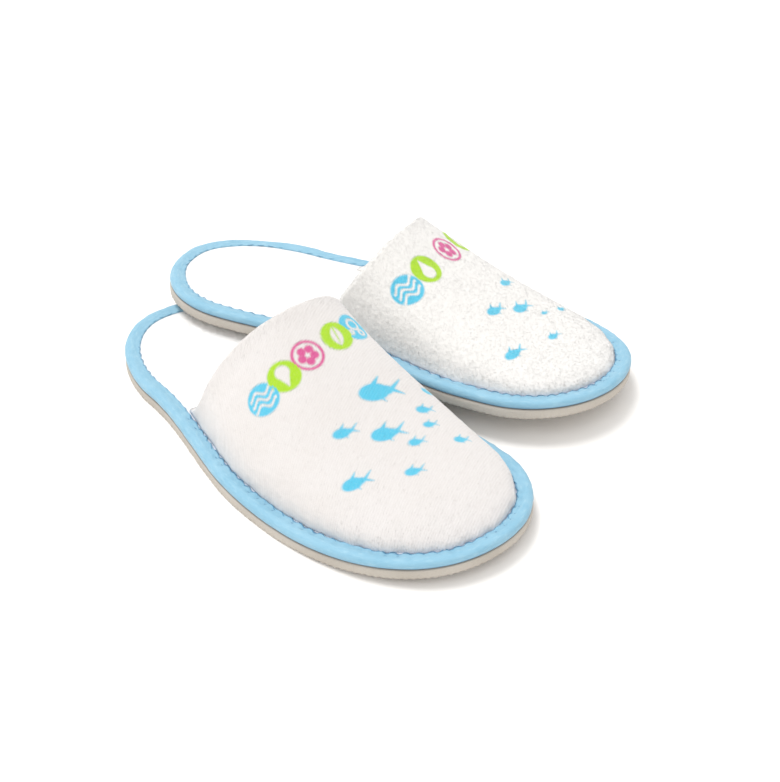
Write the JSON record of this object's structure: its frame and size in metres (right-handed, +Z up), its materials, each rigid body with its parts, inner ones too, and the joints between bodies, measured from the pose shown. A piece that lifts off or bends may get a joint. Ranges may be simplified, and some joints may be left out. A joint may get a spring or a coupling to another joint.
{
  "type": "pair of spa slippers",
  "caption": "Pair of closed-toe terry spa slippers with open heels, tape-bound edges and thin foam soles, one resting on the rim of the other.",
  "frame": {"origin": "middle of the pair's outer box, on the floor", "axes": "+Z up; the right slipper points its toe along -Y and has its big-toe side towards +X, where the left slipper lies"},
  "size_m": [0.205, 0.264, 0.0656],
  "materials": {
    "sole": "matt cream foam rubber sole",
    "board": "plain fibre board",
    "foam": "soft open foam",
    "footbed": "bright white looped terry",
    "tape": "smooth sky-blue woven tape",
    "thread": "dark blue sewing thread",
    "terry": "warm white knitted terry",
    "lining": "plain white lining cloth"
  },
  "bodies": {
    "right_slipper": {"right_outsole": "sole", "right_insole_board": "board", "right_footbed_foam": "foam", "right_footbed_terry": "footbed", "right_edge_binding": "tape", "right_binding_stitch": "thread", "right_upper_terry": "terry", "right_upper_padding": "foam", "right_upper_lining": "lining"},
    "left_slipper": {"left_outsole": "sole", "left_insole_board": "board", "left_footbed_foam": "foam", "left_footbed_terry": "footbed", "left_edge_binding": "tape", "left_binding_stitch": "thread", "left_upper_terry": "terry", "left_upper_padding": "foam", "left_upper_lining": "lining"}
  },
  "joints": [
    {"name": "left_slipper_lift", "type": "slide", "parent": "right_slipper", "child": "left_slipper", "axis": [0, 0, 1], "range_m": [0, 0.12]}
  ]
}
